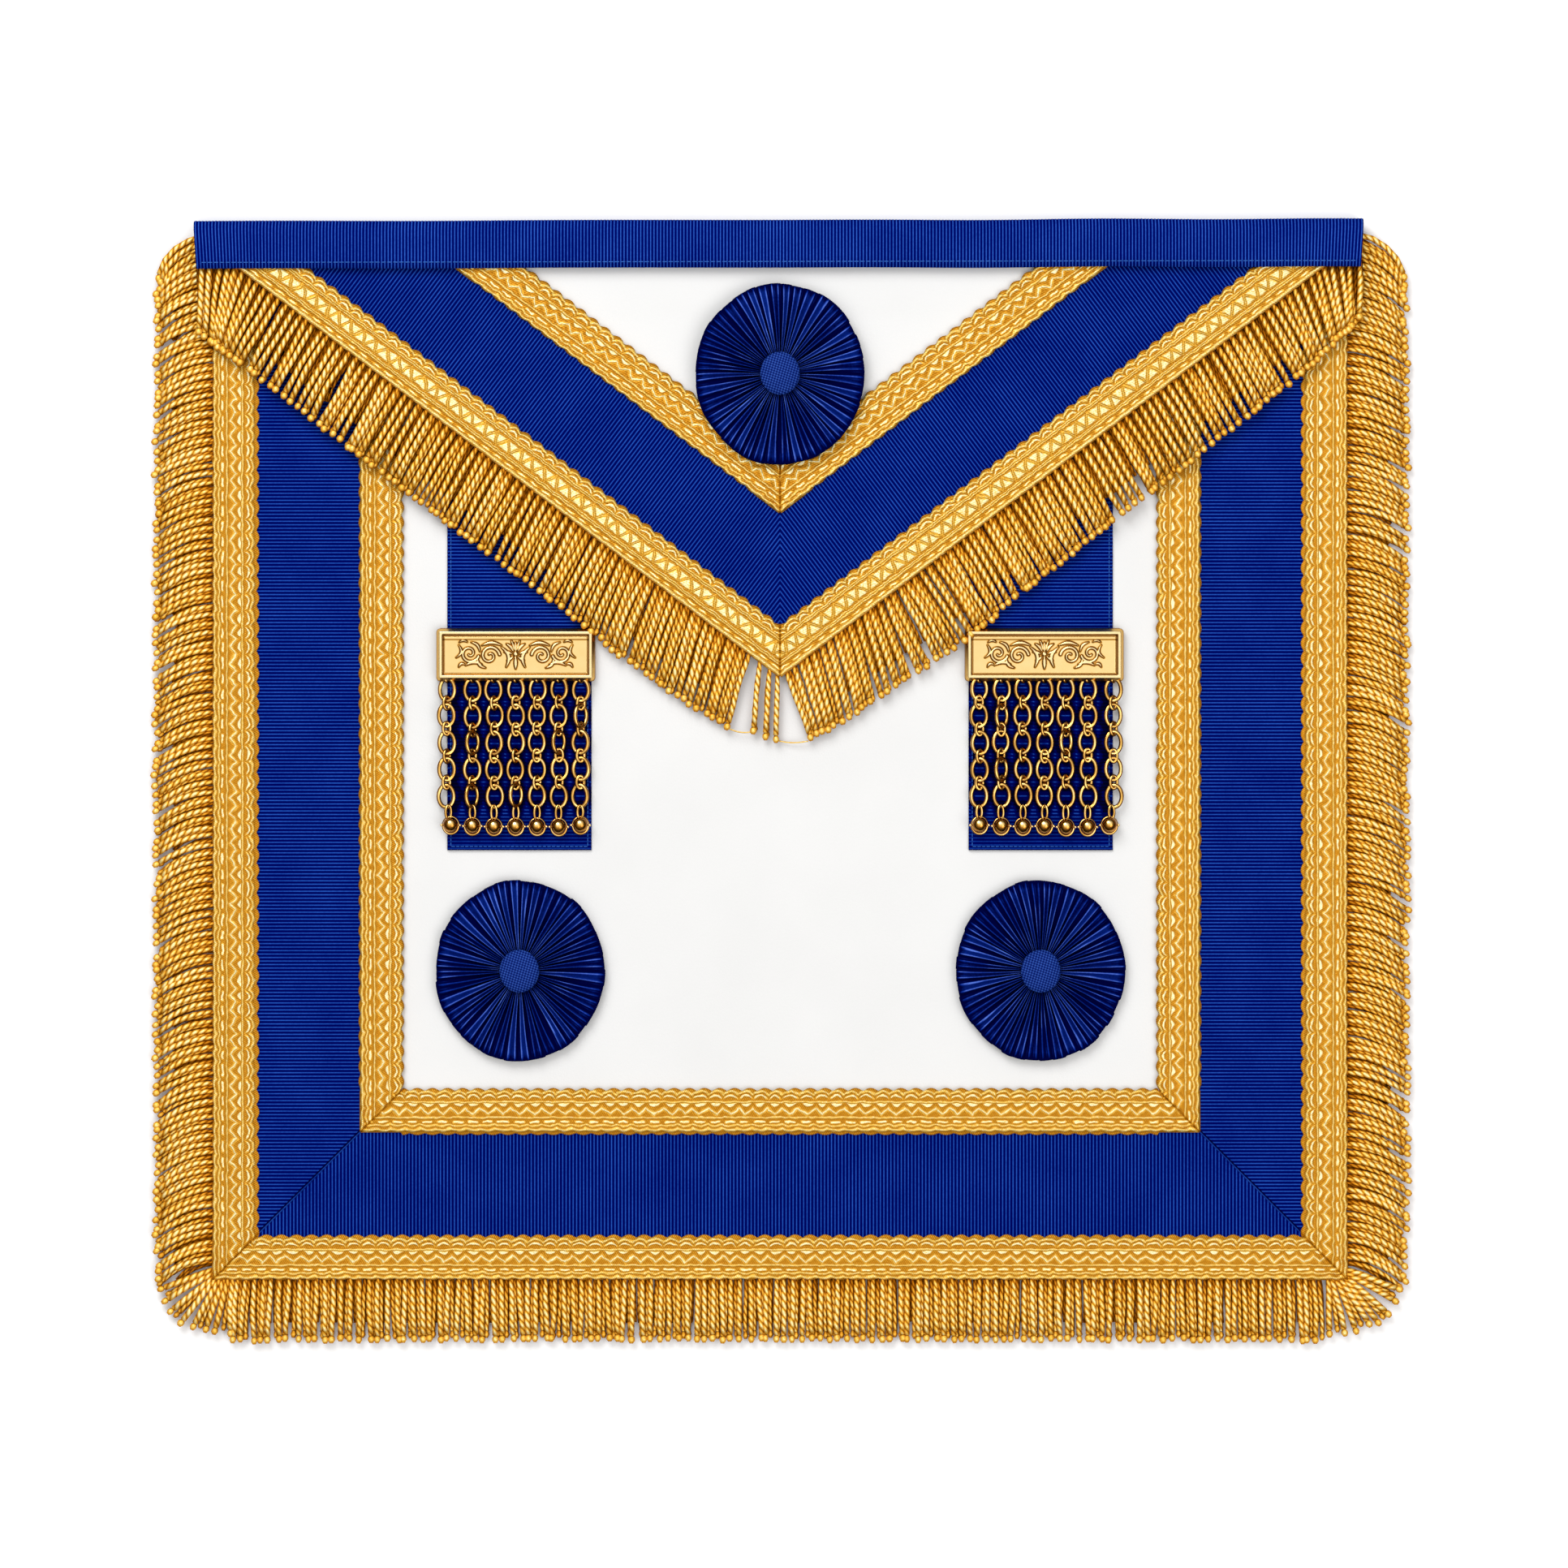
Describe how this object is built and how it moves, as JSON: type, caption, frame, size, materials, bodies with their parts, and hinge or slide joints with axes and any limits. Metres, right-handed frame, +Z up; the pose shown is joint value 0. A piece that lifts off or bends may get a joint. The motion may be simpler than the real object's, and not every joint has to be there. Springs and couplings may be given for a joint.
{
  "type": "masonic apron",
  "caption": "Fringed regalia apron with a pointed flap, gold braid on blue ribbon, tassels of chains and pleated rosettes, laid flat.",
  "frame": {"origin": "on the surface that the apron lies on, under the middle of its outline", "axes": "+X to the right as seen from above, +Y towards the waistband, +Z up out of the apron's face"},
  "size_m": [0.442, 0.3946, 0.0159],
  "materials": {
    "skin": "white, fine grain, semi-matte",
    "ribbon": "royal blue ribbed ribbon with a slight sheen",
    "braid": "gold metallic braid with bright flat wire",
    "fringe": "twisted gold metallic thread",
    "rosette": "dark blue pleated ribbon",
    "button": "blue woven cover",
    "metal": "polished with dark recesses"
  },
  "bodies": {
    "root": {"panel_skin": "skin", "flap_skin": "skin", "waistband": "ribbon", "outer_braid_left": "braid", "border_ribbon_left": "ribbon", "inner_braid_left": "braid", "fringe_left": "fringe", "outer_braid_right": "braid", "border_ribbon_right": "ribbon", "inner_braid_right": "braid", "fringe_right": "fringe", "outer_braid_bottom": "braid", "border_ribbon_bottom": "ribbon", "inner_braid_bottom": "braid", "fringe_bottom": "fringe", "flap_edge_braid_left": "braid", "flap_ribbon_left": "ribbon", "flap_inner_braid_left": "braid", "flap_fringe_left": "fringe", "flap_edge_braid_right": "braid", "flap_ribbon_right": "ribbon", "flap_inner_braid_right": "braid", "flap_fringe_right": "fringe", "rosette_left": "rosette", "rosette_button_left": "button", "rosette_right": "rosette", "rosette_button_right": "button", "rosette_upper": "rosette", "rosette_button_upper": "button", "tassel_ribbon_left": "ribbon", "tassel_bar_left": "metal", "tassel_chain_left_1": "metal", "tassel_chain_left_2": "metal", "tassel_chain_left_3": "metal", "tassel_chain_left_4": "metal", "tassel_chain_left_5": "metal", "tassel_chain_left_6": "metal", "tassel_chain_left_7": "metal", "tassel_ribbon_right": "ribbon", "tassel_bar_right": "metal", "tassel_chain_right_1": "metal", "tassel_chain_right_2": "metal", "tassel_chain_right_3": "metal", "tassel_chain_right_4": "metal", "tassel_chain_right_5": "metal", "tassel_chain_right_6": "metal", "tassel_chain_right_7": "metal"}
  },
  "joints": []
}
